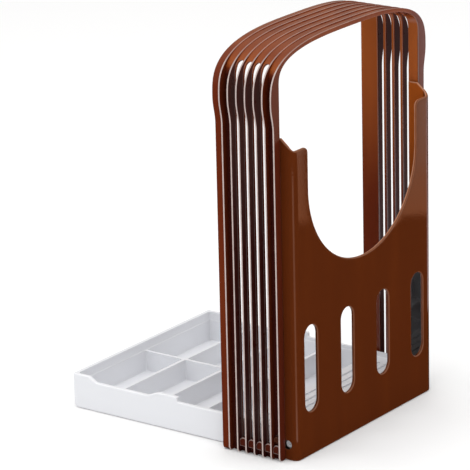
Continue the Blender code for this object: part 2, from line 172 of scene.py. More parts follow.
def arc(centre: Pair, radius: float, start: float, end: float, steps: int = 16) -> np.ndarray:
    """Return points along an arc: the centre plus the radius times (cosine, sine).

    Args:
        centre: The arc's centre.
        radius: Its radius.
        start: The first angle, in degrees.
        end: The last angle, in degrees.
        steps: How many steps lie between them.

    Returns:
        The points, one row each.
    """
    angle = np.radians(np.linspace(start, end, steps + 1))
    return np.stack([centre[0] + radius * np.cos(angle), centre[1] + radius * np.sin(angle)], axis=1)


def ring(centre: Pair, radius: float, steps: int = 28) -> np.ndarray:
    """Return a closed circle of points, counter-clockwise."""
    return arc(centre, radius, 0, 360, steps)[:-1]


def ease(start: Pair, end: Pair, steps: int = 12) -> np.ndarray:
    """Return a step between two points, whose second number follows half a cosine wave.

    Args:
        start: The first point.
        end: The last point.
        steps: How many steps lie between them.

    Returns:
        The points, one row each.
    """
    share = np.linspace(0, 1, steps + 1)
    rise = 0.5 - 0.5 * np.cos(np.pi * share)
    return np.stack([start[0] + (end[0] - start[0]) * share, start[1] + (end[1] - start[1]) * rise], axis=1)


def superellipse(half: float, base: float, rise: float, power: float, steps: int) -> np.ndarray:
    """Return an arch from right to left: (x / half) ** power + (z / rise) ** power = 1.

    Args:
        half: Half of its width.
        base: The height that it springs from.
        rise: Its height above that.
        power: The exponent; 2 is an ellipse, and more is squarer.
        steps: How many steps it has.

    Returns:
        The points, one row each, an equal way apart.
    """
    angle = np.linspace(0, np.pi, FINE_STEPS * steps + 1)
    across = np.cos(angle)
    up = np.clip(np.sin(angle), 0, None)
    x = np.sign(across) * half * np.abs(across) ** (2 / power)
    line = np.stack([x, base + rise * up ** (2 / power)], axis=1)
    along = lengths(line)
    return follow(np.linspace(0, along[-1], steps + 1), along, line)


def stadium(centre: float, bottom: float, top: float, half: float, steps: int = 14) -> np.ndarray:
    """Return an upright slot with round ends, counter-clockwise.

    Args:
        centre: The middle of the slot, along the first axis.
        bottom: Its lowest point.
        top: Its highest point.
        half: Half of its width.
        steps: How many steps each round end has.

    Returns:
        The points, one row each.
    """
    lower = arc((centre, bottom + half), half, 180, 360, steps)
    upper = arc((centre, top - half), half, 0, 180, steps)
    return np.concatenate([lower, upper])


def even(points: np.ndarray, spacing: float) -> np.ndarray:
    """Share each side of a closed loop out into equal steps, none longer than the spacing.

    Args:
        points: The loop.
        spacing: The longest step.

    Returns:
        The loop with the points that it gains.
    """
    ahead = np.roll(points, -1, axis=0)
    counts = np.maximum(1, np.ceil(np.linalg.norm(ahead - points, axis=1) / spacing).astype(int))
    share = np.concatenate([np.arange(count) / count for count in counts])
    first = np.repeat(points, counts, axis=0)
    return first + (np.repeat(ahead, counts, axis=0) - first) * share[:, None]


# Meshes


def linked(name: str, data: bpy.types.ID) -> bpy.types.Object:
    """Return a new object of that data, at the origin and linked to the scene."""
    made = bpy.data.objects.new(name, data)
    bpy.context.scene.collection.objects.link(made)
    return made


def shade_evenly(made: bpy.types.Object, sharp: float) -> None:
    """Shade an object smooth, with weighed normals; a bend of more degrees than sharp stays sharp."""
    made.data.shade_smooth()
    made.data.set_sharp_from_angle(angle=math.radians(sharp))
    made.modifiers.new("even_shading", "WEIGHTED_NORMAL").keep_sharp = True


@dataclass
class Surface:
    """A mesh as arrays: its points, its faces, how far each point is part of a rim, and its painted light.

    The rim value sets how far the pale rim colour shows: partly worn plastic, partly a painted highlight.
    The painted light runs from 0, painted shade deep in a gap, over 0.5, the plain colour, to 1, painted
    light on a lit top or a thin wall.
    """

    points: np.ndarray
    faces: list[list[int]]
    rim: np.ndarray
    tone: np.ndarray = field(init=False)

    def __post_init__(self) -> None:
        """Start with the plain colour: no painted light or shade."""
        self.tone = np.full(len(self.points), 0.5)

    def volume(self) -> float:
        """Return the signed volume: a sixth of the sum of each triangle's triple product."""
        corners = np.array([(f[0], f[i], f[i + 1]) for f in self.faces for i in range(1, len(f) - 1)])
        a, b, c = (self.points[corners[:, i]] for i in range(3))
        return float(np.einsum("ij,ij->i", a, np.cross(b, c)).sum() / 6)

    def build(self, name: str) -> bpy.types.Object:
        """Make the Blender object, in metres and with its faces pointing out.

        Args:
            name: The object's name.

        Returns:
            The new object, at the origin and linked to the scene.
        """
        faces = self.faces if self.volume() > 0 else [face[::-1] for face in self.faces]
        mesh = bpy.data.meshes.new(name)
        mesh.from_pydata(((self.points + SHIFT) * MM).tolist(), [], faces)
        for label, values in (("rim", self.rim), ("tone", self.tone)):
            mesh.attributes.new(label, "FLOAT", "POINT").data.foreach_set("value", values.astype(np.float32))
        made = linked(name, mesh)
        shade_evenly(made, SHARP)
        return made


def merged(surfaces: Sequence[Surface]) -> Surface:
    """Join closed surfaces into one, with the plain colour: no painted light or shade.

    Args:
        surfaces: The surfaces.

    Returns:
        One surface, with their points, faces and rims one after another.
    """
    starts = np.cumsum([0] + [len(s.points) for s in surfaces[:-1]])
    faces = [[i + int(start) for i in face] for s, start in zip(surfaces, starts) for face in s.faces]
    points = np.concatenate([s.points for s in surfaces])
    return Surface(points, faces, np.concatenate([s.rim for s in surfaces]))


def smooth(values: np.ndarray, low: float, high: float) -> np.ndarray:
    """Return 0 below low and 1 above high, and half a cosine wave between them."""
    return 0.5 - 0.5 * np.cos(np.pi * np.clip((values - low) / (high - low), 0, 1))


def inside(points: np.ndarray, loops: Sequence[np.ndarray]) -> np.ndarray:
    """Say which points lie inside the loops: those with an odd number of sides to their right.

    Args:
        points: The points.
        loops: The closed loops.

    Returns:
        True or False for each point.
    """
    count = np.zeros(len(points), int)
    x, y = points[:, 0, None], points[:, 1, None]
    for loop in loops:
        ahead = np.roll(loop, -1, axis=0)
        rise = ahead[:, 1] - loop[:, 1]
        slope = (ahead[:, 0] - loop[:, 0]) / np.where(rise == 0, 1, rise)
        spans = (loop[:, 1] > y) != (ahead[:, 1] > y)
        count += (spans & (x < loop[:, 0] + (y - loop[:, 1]) * slope)).sum(1)
    return count % 2 == 1


def clearance(points: np.ndarray, loops: Sequence[np.ndarray]) -> np.ndarray:
    """Return each point's distance to the nearest corner of the loops."""
    corners = np.concatenate(loops)
    return np.sqrt(((points[:, None, :] - corners[None, :, :]) ** 2).sum(-1)).min(1)


@dataclass
class Sheet:
    """A sheet with holes whose rims are rounded on both sides.

    The outer loop runs counter-clockwise and the holes clockwise, so the material is on the left.  A rim
    is carried along each loop: at the angle p it lies rim * (1 - sin p) inside the loop and
    rim * (1 - cos p) below the face, and the other side mirrors it.  A loop with a taper narrows by it
    towards the far face.
    """

    loops: list[np.ndarray]
    thickness: float
    rim: float | list[float]
    place: Place
    fill: Pair | None = None
    steps: int = 4
    tapers: list[float] | None = None
    thin: bool = False

    def rims(self) -> list[np.ndarray]:
        """Return each point's rim: its loop's own, or less where another loop passes close by."""
        given = self.rim if isinstance(self.rim, list) else [self.rim] * len(self.loops)
        found = []
        for number, (loop, rim) in enumerate(zip(self.loops, given)):
            others = self.loops[:number] + self.loops[number + 1:]
            room = ROOM_SHARE * clearance(loop, others) if others else np.full(len(loop), rim)
            found.append(np.minimum(rim, room))
        return found

    def outward(self, loop: np.ndarray) -> np.ndarray:
        """Work out a loop's mitred normals: the two sides' normals, summed, over 1 plus their product.

        Args:
            loop: The loop, with the material on its left.

        Returns:
            A vector for each point, away from the material.
        """
        ahead = np.roll(loop, -1, axis=0) - loop
        ahead /= np.linalg.norm(ahead, axis=1)[:, None]
        behind = np.roll(ahead, 1, axis=0)
        first = np.stack([behind[:, 1], -behind[:, 0]], axis=1)
        second = np.stack([ahead[:, 1], -ahead[:, 0]], axis=1)
        return (first + second) / (1 + (first * second).sum(1))[:, None]

    def rings(self, loop: np.ndarray, rim: np.ndarray, taper: float) -> list[tuple[np.ndarray, np.ndarray]]:
        """Work out a loop's rings, by the formula in the class's docstring.

        Args:
            loop: The loop.
            rim: Each point's rim.
            taper: How far the loop narrows towards the far face.

        Returns:
            Each ring's points and their depths, from the near face to the far one.
        """
        angle = np.linspace(0, np.pi / 2, self.steps + 1)
        normals = self.outward(loop)
        across = [loop - (rim * (1 - sine))[:, None] * normals for sine in np.sin(angle)]
        depth = [rim * (1 - cosine) for cosine in np.cos(angle)]
        upper = list(zip(across, depth))
        lower = [(points + taper * normals, self.thickness - deep) for points, deep in upper]
        return upper + lower[::-1]

    def wear_and_highlight(self) -> np.ndarray:
        """Return how far each ring is worn and given a painted highlight: most at 45 degrees, or all over the
        edge of a thin sheet.
        """
        half = np.sin(np.linspace(0, np.pi, self.steps + 1))
        if self.thin:
            half = np.concatenate([[0.0], np.ones(self.steps)])
        return np.concatenate([half, half[::-1]])

    def lattice(self, shrunk: list[np.ndarray]) -> np.ndarray:
        """Lay a lattice of the fill's two spacings over the faces, clear of their loops.

        Args:
            shrunk: The faces' loops.

        Returns:
            The points, or none where there is no fill.
        """
        if self.fill is None:
            return np.zeros((0, 2))
        low = shrunk[0].min(0)
        high = shrunk[0].max(0)
        axes = [np.arange(low[i] + self.fill[i] / 2, high[i], self.fill[i]) for i in range(2)]
        points = np.stack(np.meshgrid(*axes), axis=-1).reshape(-1, 2)
        points = points[inside(points, shrunk)]
        return points[clearance(points, shrunk) > ROOM_SHARE * min(self.fill)]

    def surface(self) -> Surface:
        """Work out the closed surface: two faces by constrained triangles, and the rims between them."""
        tapers = self.tapers or [0.0] * len(self.loops)
        groups = [self.rings(loop, rim, taper) for loop, rim, taper in zip(self.loops, self.rims(), tapers)]
        wear_and_highlight = self.wear_and_highlight()
        shrunk = [group[0][0] for group in groups]
        middle = self.lattice(shrunk)
        flat = np.concatenate([*shrunk, middle])
        sides = []
        start = 0
        for loop in shrunk:
            index = np.arange(len(loop))
            sides += np.stack([start + index, start + np.roll(index, -1)], axis=1).tolist()
            start += len(loop)
        found = delaunay_2d_cdt([Vector(p) for p in flat], sides, [], 0, WELD)
        source = np.array([origin[0] for origin in found[3]])
        triangles = source[np.array([list(face) for face in found[2]])]
        triangles = triangles[inside(flat[triangles].mean(1), shrunk)]

        points, faces, rims, top, bottom = [], [], [], [], []
        start = 0
        for group in groups:
            count = len(group[0][0])
            for level, (across, depth) in enumerate(group):
                points.append(self.place(across, depth))
                rims.append(np.full(count, wear_and_highlight[level]))
            index = np.arange(count)
            for level in range(len(group) - 1):
                near = start + level * count
                far = near + count
                onward = np.roll(index, -1)
                quads = np.stack([near + index, far + index, far + onward, near + onward], axis=1)
                faces += quads.tolist()
            top.append(start + index)
            bottom.append(start + (len(group) - 1) * count + index)
            start += len(group) * count
        for depth, ends in ((0.0, top), (self.thickness, bottom)):
            points.append(self.place(middle, np.full(len(middle), depth)))
            rims.append(np.zeros(len(middle)))
            ends.append(start + np.arange(len(middle)))
            start += len(middle)
        faces += np.concatenate(top)[triangles].tolist()
        faces += np.concatenate(bottom)[triangles[:, ::-1]].tolist()
        return Surface(np.concatenate(points), faces, np.concatenate(rims))


def depth_along(axis: Axis, start: float) -> Place:
    """Place a sheet drawn in the other two axes, whose depth runs along the axis from the start."""
    return lambda flat, depth: np.insert(flat, axis, start + depth, axis=1)


def turned(profile: np.ndarray, side: int, axis: Pair, sides: int = 40) -> Surface:
    """Return a closed turned shape: x = side * along, y and z = axis + radius * (cosine, sine).

    Args:
        profile: Rows of (distance along the axis, radius), whose first and last radius is 0.
        side: 1 or -1, the direction along X.
        axis: The axis's Y and height.
        sides: How many sides the shape has.

    Returns:
        The surface.
    """
    angle = np.linspace(0, 2 * np.pi, sides, endpoint=False)
    body = profile[1:-1]
    x = np.repeat(side * body[:, 0], sides)
    y = axis[0] + np.outer(body[:, 1], np.cos(angle)).ravel()
    z = axis[1] + np.outer(body[:, 1], np.sin(angle)).ravel()
    ends = np.array([[side * profile[i, 0], *axis] for i in (0, -1)])
    points = np.concatenate([np.stack([x, y, z], axis=1), ends])
    index = np.arange(sides)
    onward = np.roll(index, -1)
    faces = []
    for level in range(len(body) - 1):
        near = level * sides
        far = near + sides
        faces += np.stack([near + index, near + onward, far + onward, far + index], axis=1).tolist()
    first, last, tail = len(points) - 2, len(points) - 1, (len(body) - 1) * sides
    faces += np.stack([np.full(sides, first), onward, index], axis=1).tolist()
    faces += np.stack([np.full(sides, last), tail + index, tail + onward], axis=1).tolist()
    return Surface(points, faces, np.zeros(len(points)))


def cut(target: bpy.types.Object, cutters: Sequence[bpy.types.Object]) -> None:
    """Take the cutters out of the target's mesh, and remove them.

    Args:
        target: The object that is cut.
        cutters: Closed objects, which are removed.
    """
    target.modifiers.clear()
    for cutter in cutters:
        cutter.modifiers.clear()
        step = target.modifiers.new("cut", "BOOLEAN")
        step.operation = "DIFFERENCE"
        step.object = cutter
    graph = bpy.context.evaluated_depsgraph_get()
    mesh = bpy.data.meshes.new_from_object(target.evaluated_get(graph))
    target.modifiers.clear()
    target.data = mesh
    for cutter in cutters:
        bpy.data.objects.remove(cutter, do_unlink=True)
    shade_evenly(target, CUT_SHARP)


# Materials


class Socket:
    """A shader value with arithmetic; each operation adds one Math node."""

    def __init__(self, shader: Shader, link: bpy.types.NodeSocket) -> None:
        """Keep the shader that the value belongs to, and the node output that gives it."""
        self.shader = shader
        self.link = link

    def _math(self, operation: str, first: Socket | float, second: Socket | float) -> Socket:
        """Return a new value from one Math node."""
        return self.shader.socket(0, "ShaderNodeMath", {"operation": operation}, {0: first, 1: second})

    def __add__(self, other: Socket | float) -> Socket:
        """Return this value plus another."""
        return self._math("ADD", self, other)

    __radd__ = __add__

    def __sub__(self, other: Socket | float) -> Socket:
        """Return this value minus another."""
        return self._math("SUBTRACT", self, other)

    def __rsub__(self, other: float) -> Socket:
        """Return a number minus this value."""
        return self._math("SUBTRACT", other, self)

    def __mul__(self, other: Socket | float) -> Socket:
        """Return this value times another."""
        return self._math("MULTIPLY", self, other)

    __rmul__ = __mul__


class Shader:
    """The node tree of a material or a world, and the one method that adds nodes to it."""

    def __init__(self, owner: bpy.types.Material | bpy.types.World) -> None:
        """Empty the tree of its owner."""
        owner.use_nodes = True
        self.owner = owner
        self.tree = owner.node_tree
        self.tree.nodes.clear()

    @classmethod
    def material(cls, name: str) -> Shader:
        """Start an empty material of that name."""
        return cls(bpy.data.materials.new(name))

    def node(self, kind: str, settings: dict, inputs: dict) -> bpy.types.Node:
        """Add a node.

        Args:
            kind: The node's type.
            settings: Its own settings, which are set first; stops are a colour ramp's.
            inputs: A value or a Socket for each input, by name or number.

        Returns:
            The new node.
        """
        node = self.tree.nodes.new(kind)
        for key, value in settings.items():
            if key == "stops":
                elements = node.color_ramp.elements
                elements.remove(elements[1])
                elements[0].position = value[0][0]
                elements[0].color = (*value[0][1], 1.0)
                for position, colour in value[1:]:
                    elements.new(position).color = (*colour, 1.0)
            else:
                setattr(node, key, value)
        for key, value in inputs.items():
            if isinstance(value, Socket):
                self.tree.links.new(value.link, node.inputs[key])
            else:
                node.inputs[key].default_value = value
        return node

    def socket(self, output: int | str, kind: str, settings: dict, inputs: dict) -> Socket:
        """Add a node, and return one of its outputs, by name or number."""
        return Socket(self, self.node(kind, settings, inputs).outputs[output])

    def coordinates(self, kind: str) -> Socket:
        """Return the texture coordinates of that kind."""
        return self.socket(kind, "ShaderNodeTexCoord", {}, {})

    def noise(self, scale: float, stretch: Triple = (1.0, 1.0, 1.0), detail: float = 2.0) -> Socket:
        """Return noise on Object coordinates, at a scale per metre and stretched per axis."""
        mapped = self.socket(0, "ShaderNodeMapping", {},
                             {"Vector": self.coordinates("Object"), "Scale": stretch})
        return self.socket("Fac", "ShaderNodeTexNoise", {},
                           {"Vector": mapped, "Scale": scale, "Detail": detail})

    def ramp(self, value: Socket, stops: Stops) -> Socket:
        """Return the colour that the stops give a value from 0 to 1."""
        return self.socket(0, "ShaderNodeValToRGB", {"stops": stops}, {"Fac": value})

    def stretch(self, value: Socket, low: float, high: float) -> Socket:
        """Return a value stretched so that low becomes 0 and high becomes 1."""
        return self.ramp(value, ((low, BLACK), (high, WHITE)))

    def mix(self, factor: Socket, first: Socket | Colour, second: Socket | Colour) -> Socket:
        """Return a blend of two colours."""
        pair = [c if isinstance(c, Socket) else (*c, 1.0) for c in (first, second)]
        return self.socket(2, "ShaderNodeMix", {"data_type": "RGBA"}, {0: factor, 6: pair[0], 7: pair[1]})

    def attribute(self, name: str) -> Socket:
        """Return the piece's own attribute of that name."""
        return self.socket("Fac", "ShaderNodeAttribute", {"attribute_name": name}, {})

    def finish(self, inputs: dict, kind: str = "BsdfPrincipled",
               output: str = "OutputMaterial") -> bpy.types.ID:
        """Add the last shader with those inputs and the output, and return the tree's owner."""
        self.node(f"ShaderNode{output}", {}, {0: self.socket(0, f"ShaderNode{kind}", {}, inputs)})
        return self.owner


@dataclass(frozen=True)
class MouldedPlastic:
    """Glossy moulded plastic: painted shade deep in its gaps, painted light on lit tops and thin walls, flow
    marks, and pale rims, partly worn and partly a painted highlight.

    Noise scales are per metre.  Patches of the pale rims, worn and painted highlight, and of gloss follow
    one noise, times its share and plus the least value, and a fine peel bumps the whole surface.
    """

    name: str
    # The painted light picks deep, painted shade in gaps, body, the plain colour, or warm, painted light on
    # lit tops and thin walls.  Rims mix towards edge by edge_share: partly worn plastic, partly a painted
    # highlight.
    deep: Colour
    body: Colour
    warm: Colour
    edge: Colour
    edge_share: float = 0.5
    gloss: float = 0.14
    specular: float = 0.5
    coat: float = 0.1
    coat_roughness: float = 0.05
    flow_scale: float = 60.0
    flow_detail: float = 3.0
    flow_range: Pair = (0.35, 0.7)
    flow_share: float = 0.16
    flow_stretch: Triple = (1.0, 1.0, 0.12)
    patch_scale: float = 220.0
    patch_share: float = 0.5
    least_wear_and_highlight: float = 0.7
    least_roughness: float = 0.75
    peel_scale: float = 900.0
    peel_strength: float = 0.04
    peel_depth: float = 0.0004

    def material(self) -> bpy.types.Material:
        """Return the material."""
        shader = Shader.material(self.name)
        flow = shader.stretch(shader.noise(self.flow_scale, self.flow_stretch, self.flow_detail),
                              *self.flow_range)
        # The painted light attribute, shifted by flow marks, picks painted shade, the plain colour or painted
        # light.
        tone = shader.attribute("tone") + (flow - 0.5) * self.flow_share
        base = shader.ramp(tone, ((0.0, self.deep), (0.5, self.body), (1.0, self.warm)))
        patches = shader.noise(self.patch_scale) * self.patch_share
        # The pale rims: partly worn plastic, partly a painted highlight.
        rubbed_and_highlit = shader.attribute("rim") * self.edge_share
        peel = shader.noise(self.peel_scale, detail=1.0)
        bump = shader.socket(0, "ShaderNodeBump", {}, {
            "Strength": self.peel_strength, "Distance": self.peel_depth, "Height": peel})
        return shader.finish({
            "Base Color": shader.mix(rubbed_and_highlit * (patches + self.least_wear_and_highlight), base, self.edge),
            "Roughness": (patches + self.least_roughness) * self.gloss,
            "Specular IOR Level": self.specular,
            "Coat Weight": self.coat,
            "Coat Roughness": self.coat_roughness,
            "Normal": bump,
        })


@dataclass(frozen=True)
class Finishes:
    """The finish of each kind of piece; the ribs are the frame's plastic, duller, with brighter painted light
    over the crown.
    """

    # The frame's pale edge colour, at full share, draws the fins' edges as light lines: partly worn plastic,
    # partly a painted highlight.
    frame: MouldedPlastic = MouldedPlastic(
        "red_brown_plastic", deep=(0.045, 0.008, 0.006), body=(0.126, 0.019, 0.005),
        warm=(0.330, 0.080, 0.016), edge=(0.56, 0.46, 0.43), edge_share=1.0, specular=0.32, flow_share=0.12)
    ribs: MouldedPlastic = replace(
        frame, name="red_brown_ribs", warm=(0.440, 0.115, 0.030), gloss=0.3, specular=0.1, coat=0.0)
    # The plate's deep colour is painted shade, in the sight holes and low inside the flanges; its warm colour
    # is painted light higher up; its pale edge is partly worn, partly a painted highlight.
    plate: MouldedPlastic = MouldedPlastic(
        "brown_plastic", deep=(0.006, 0.003, 0.002), body=(0.094, 0.019, 0.004),
        warm=(0.300, 0.066, 0.009), edge=(0.46, 0.22, 0.13), edge_share=1.0, gloss=0.035, flow_share=0.05)
    # The tray's lighter edges are partly worn plastic, partly a painted highlight.
    tray: MouldedPlastic = MouldedPlastic(
        "white_plastic", deep=(0.79, 0.80, 0.83), body=(0.80, 0.81, 0.84), warm=(0.81, 0.82, 0.85),
        edge=(0.86, 0.86, 0.89), gloss=0.24, flow_stretch=(1.0, 0.15, 1.0))
    pin: MouldedPlastic = MouldedPlastic(
        "pin_plastic", deep=(0.040, 0.010, 0.005), body=(0.050, 0.013, 0.006), warm=(0.062, 0.018, 0.008),
        edge=(0.12, 0.05, 0.03), edge_share=0.3)


def dress(piece: bpy.types.Object, material: bpy.types.Material, body: Body, slot: Slot, *nodes: str) -> None:
    """Give a piece its material, hang it on its body, and hide the CAD nodes that it stands for.

    Args:
        piece: The finished piece.
        material: Its material.
        body: The body that it rides on.
        slot: The record's material slot; not used.
        nodes: The CAD nodes that it stands for.
    """
    piece.data.materials.clear()
    piece.data.materials.append(material)
    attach(piece, body.value)
    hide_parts(*nodes)
    LOG.info("%s: %d faces, on %s", piece.name, len(piece.data.polygons), body.value)


# The pieces


@dataclass
class GuideArch:
    """The finned arch: a skin with knife slots, seven fins, a rear band and the slots' sills."""

    fin_count: int = 7
    fin_thickness: float = 0.9
    fin_pitch: float = 5.8
    fin_round: float = 0.25
    foot_radius: float = 2.5
    wall_depth: float = 5.7
    # Over the crown, between these heights, the pale edges fade to the rest share and the painted light turns
    # to the crown's.
    fade_from: float = 222.0
    fade_to: float = 236.0
    fade_rest: float = 0.3
    # The inner faces' painted light, lighter higher up: from the low to the high share between these heights.
    painted_light_from: float = 100.0
    painted_light_to: float = 225.0
    painted_light_low: float = 0.5
    painted_light_high: float = 1.0
    # Painted light and shade: the crown lighter; painted shade on its ceiling, on the front fin's faces and
    # on the fins beside no slot.
    crown_painted_light: float = 0.62
    ceiling_painted_shade: float = 0.3
    front_painted_shade: float = 0.25
    blind_painted_shade: float = 0.35
    # Shares of the pale rims, partly worn plastic and partly a painted highlight; the rear band keeps the
    # plain colour.
    inner_wear_and_highlight: float = 0.3
    band_tone: float = 0.5
    band_wear_and_highlight: float = 0.25
    skin_wear_and_highlight: float = 0.3
    sill_wear_and_highlight: float = 0.6
    band_step: float = 0.4
    skin: float = 1.7
    skin_round: float = 0.25
    crown_skin: float = 2.0
    crown_rib: float = 0.6
    crown_power: float = 3.0
    handle_bulge: float = 2.2
    handle_rise: float = 31.0
    handle_blend: float = 16.0
    inner_rise: float = 20.0
    slot_side: float = 0.35
    slot_draft: float = 0.1
    slot_bottom: float = 6.0
    slot_headroom: float = 11.5
    slot_first: int = 1
    slot_count: int = 4
    sill_top: float = 8.9
    sill_bottom: float = 3.6
    sill_depth: float = 3.2
    sill_round: float = 0.6
    # Painted shade on the sills.
    sill_painted_shade: float = 0.2
    crown_steps: int = 72
    wall_steps: int = 30
    swell_steps: int = 16
    edge_step: float = 2.0
    skin_fill: Pair = (2.0, 2.9)
    skin_rim_steps: int = 3
    half: float = field(init=False)
    depth: float = field(init=False)
    height: float = field(init=False)

    def __post_init__(self) -> None:
        """Take the overall sizes from the frame."""
        low, high = local_box("slicing_frame")
        self.half = float(high[0])
        self.depth = float(high[1] - low[1])
        self.height = float(high[2])

    @property
    def fin_half(self) -> float:
        """Half of the width over the fins, below the handle."""
        return self.half - self.handle_bulge

    @property
    def inner_half(self) -> float:
        """Half of the clear width between the walls."""
        return self.fin_half - self.wall_depth

    @property
    def slot_half(self) -> float:
        """Half of a knife slot's width at the wall's inner face."""
        return (self.fin_pitch - self.fin_thickness) / 2 - self.slot_side

    @property
    def band_start(self) -> float:
        """Where the rear band starts, in the middle of the last fin."""
        return self.fin_thickness / 2 + (self.fin_count - 1) * self.fin_pitch

    def gap_centre(self, index: int) -> float:
        """Return the middle of the gap behind a fin; 0 is the front fin."""
        return self.fin_thickness / 2 + (index + 0.5) * self.fin_pitch

    @property
    def slot_centres(self) -> tuple[float, ...]:
        """The middles of the knife slots, from front to back."""
        return tuple(self.gap_centre(self.slot_first + i) for i in range(self.slot_count))

    def outer(self, inset: float) -> np.ndarray:
        """Draw the outside over the fins: a round foot, a swell out to the handle, and the crown.

        Args:
            inset: How far it stays inside the real outside.

        Returns:
            The points, from the right foot over the crown to the left foot.
        """
        half = self.fin_half - inset
        spring = self.height - self.handle_rise
        foot = arc((half - self.foot_radius, self.foot_radius), self.foot_radius, -90, 0, steps=8)
        swell = ease((spring - self.handle_blend, half), (spring, self.half - inset), self.swell_steps)
        side = np.concatenate([foot, swell[:-1, ::-1]])
        crown = superellipse(self.half - inset, spring, self.handle_rise - inset, self.crown_power,
                             self.crown_steps)
        return np.concatenate([side, crown, side[::-1] * [-1, 1]])

    def skin_line(self, half: float, top: float) -> np.ndarray:
        """Draw an arch line within the skin: an upright wall on each side, and the crown.

        Args:
            half: Half of its width.
            top: Its height.

        Returns:
            The points, from the right foot to the left foot.
        """
        spring = self.height - self.crown_rib - self.crown_skin - self.inner_rise
        rise = np.linspace(0, spring, self.wall_steps, endpoint=False)
        wall = np.stack([np.full(self.wall_steps, half), rise], axis=1)
        crown = superellipse(half, spring, top - spring, self.crown_power, self.crown_steps)
        return np.concatenate([wall, crown, wall[::-1] * [-1, 1]])

    def skin_surface(self) -> Surface:
        """Return the skin: a sheet drawn in (distance along the arch, y) and bent over the arch."""
        top = self.height - self.crown_rib
        inner = self.skin_line(self.inner_half, top - self.crown_skin)
        outer = self.skin_line(self.inner_half + self.skin, top)
        along = lengths(inner)

        def place(flat: np.ndarray, depth: np.ndarray) -> np.ndarray:
            """Place a point between the inner and the outer line, by its share of the thickness."""
            share = (depth / self.skin)[:, None]
            low, high = (follow(flat[:, 0], along, line) for line in (inner, outer))
            return np.insert(low * (1 - share) + high * share, Axis.Y, flat[:, 1], axis=1)

        climb = inner[: len(inner) // 2 + 1, 1]
        reach = along[: len(climb)]
        total = along[-1]
        start = self.fin_thickness / 2 - self.skin_round
        end = self.band_start + self.fin_round + self.skin_round
        sheet = np.array([[0, start], [total, start], [total, end], [0, end]], float)
        slots = [stadium(centre, self.slot_bottom, self.height - self.slot_headroom, self.slot_half)
                 for centre in self.slot_centres]
        holes = [(even(slot, self.edge_step), -self.slot_draft) for slot in slots]
        loops = [even(sheet, self.edge_step)]
        tapers = [0.0]
        for hole, taper in [*holes, (ring(PIN_AXIS, PIN_BORE), 0.0)]:
            right = np.stack([np.interp(hole[:, 1], climb, reach), hole[:, 0]], axis=1)
            left = np.stack([total - right[:, 0], right[:, 1]], axis=1)
            loops += [right, left[::-1]]
            tapers += [taper, taper]
        made = Sheet(loops, self.skin, self.skin_round, place, self.skin_fill, self.skin_rim_steps,
                     tapers).surface()
        self.shade_skin(made, inner)
        return made

    def shade_skin(self, made: Surface, inner: np.ndarray) -> None:
        """Set how worn the skin's rims are, with their painted highlight, and the skin's painted light and
        shade.

        Over the crown the painted light goes from the ceiling's painted shade, on the inner line, to the
        crown's lighter painted light, one skin above it.  On the walls it goes from the inner faces' painted
        light, lighter higher up, to 0, full painted shade, on the outer face between the fins.

        Args:
            made: The skin's surface.
            inner: Its inner line.
        """
        across, height = made.points[:, Axis.X], made.points[:, Axis.Z]
        crown = smooth(height, self.fade_from, self.fade_to)
        ceiling = np.interp(across, inner[::-1, 0], inner[::-1, 1])
        above = np.clip((height - ceiling) / self.crown_skin, 0, 1)
        over = self.ceiling_painted_shade + (self.crown_painted_light - self.ceiling_painted_shade) * above
        within = 1 - np.clip((np.abs(across) - self.inner_half) / self.skin, 0, 1)
        made.tone = crown * over + (1 - crown) * within * self.inner_painted_light(height)
        made.rim *= self.skin_wear_and_highlight

    def inner_painted_light(self, height: np.ndarray) -> np.ndarray:
        """Return the painted light of the inner faces, lighter higher up."""
        return self.painted_light_low + (self.painted_light_high - self.painted_light_low) * smooth(height, self.painted_light_from, self.painted_light_to)

    def blade(self, inset: float, depth: float, start: float, thickness: float, tone: float) -> Surface:
        """Return a flat arch between the outside and a line within the skin.

        Its pale edge, partly worn and partly a painted highlight, fades over the crown and is fainter on the
        inner line.
        Its painted light or shade turns to the crown's lighter painted light over the crown, and a thick
        blade's inner line has the painted light of the skin's inner faces.

        Args:
            inset: How far it stays inside the outside line.
            depth: How far its inner edge lies from the skin's inner face.
            start: The Y that it starts at.
            thickness: Its size along Y.
            tone: Its painted light or shade below the crown.

        Returns:
            The closed surface.
        """
        top = self.height - self.crown_rib - self.crown_skin
        outer = self.outer(inset)
        outline = np.concatenate([outer, self.skin_line(self.inner_half + depth, top + depth)[::-1]])
        thin = thickness < self.fin_pitch / 2
        made = Sheet([outline], thickness, self.fin_round, depth_along(Axis.Y, start), thin=thin).surface()
        crown = smooth(outline[:, 1], self.fade_from, self.fade_to)
        # Painted light and shade along the outline.
        tones = np.full(len(outline), tone)
        if not thin:
            tones[len(outer):] = self.inner_painted_light(outline[len(outer):, 1])
        tones += (self.crown_painted_light - tones) * crown
        wear_and_highlight = 1 - (1 - self.fade_rest) * crown
        wear_and_highlight[len(outer):] *= self.inner_wear_and_highlight
        rings = len(made.rim) // len(outline)
        made.rim *= np.tile(wear_and_highlight if thin else wear_and_highlight * self.band_wear_and_highlight, rings)
        made.tone = np.tile(tones, rings)
        return made

    def fin_surface(self, index: int) -> Surface:
        """Work out one fin; the front one reaches the skin's inner face, and the others end in the skin.

        Args:
            index: The fin's number; 0 is the front fin.

        Returns:
            The closed surface.
        """
        if index == 0:
            return self.blade(0.0, 0.0, 0.0, self.fin_thickness, self.front_painted_shade)
        slotted = self.slot_first < index <= self.slot_first + self.slot_count
        # Painted shade: full on the fins beside a knife slot, less on the others.
        tone = 0.0 if slotted else self.blind_painted_shade
        return self.blade(0.0, self.skin / 2, index * self.fin_pitch, self.fin_thickness, tone)

    def band_surface(self) -> Surface:
        """Return the rear band, a ring that thickens the last fin to the arch's rear face."""
        return self.blade(self.band_step, 0.0, self.band_start, self.depth - self.band_start, self.band_tone)

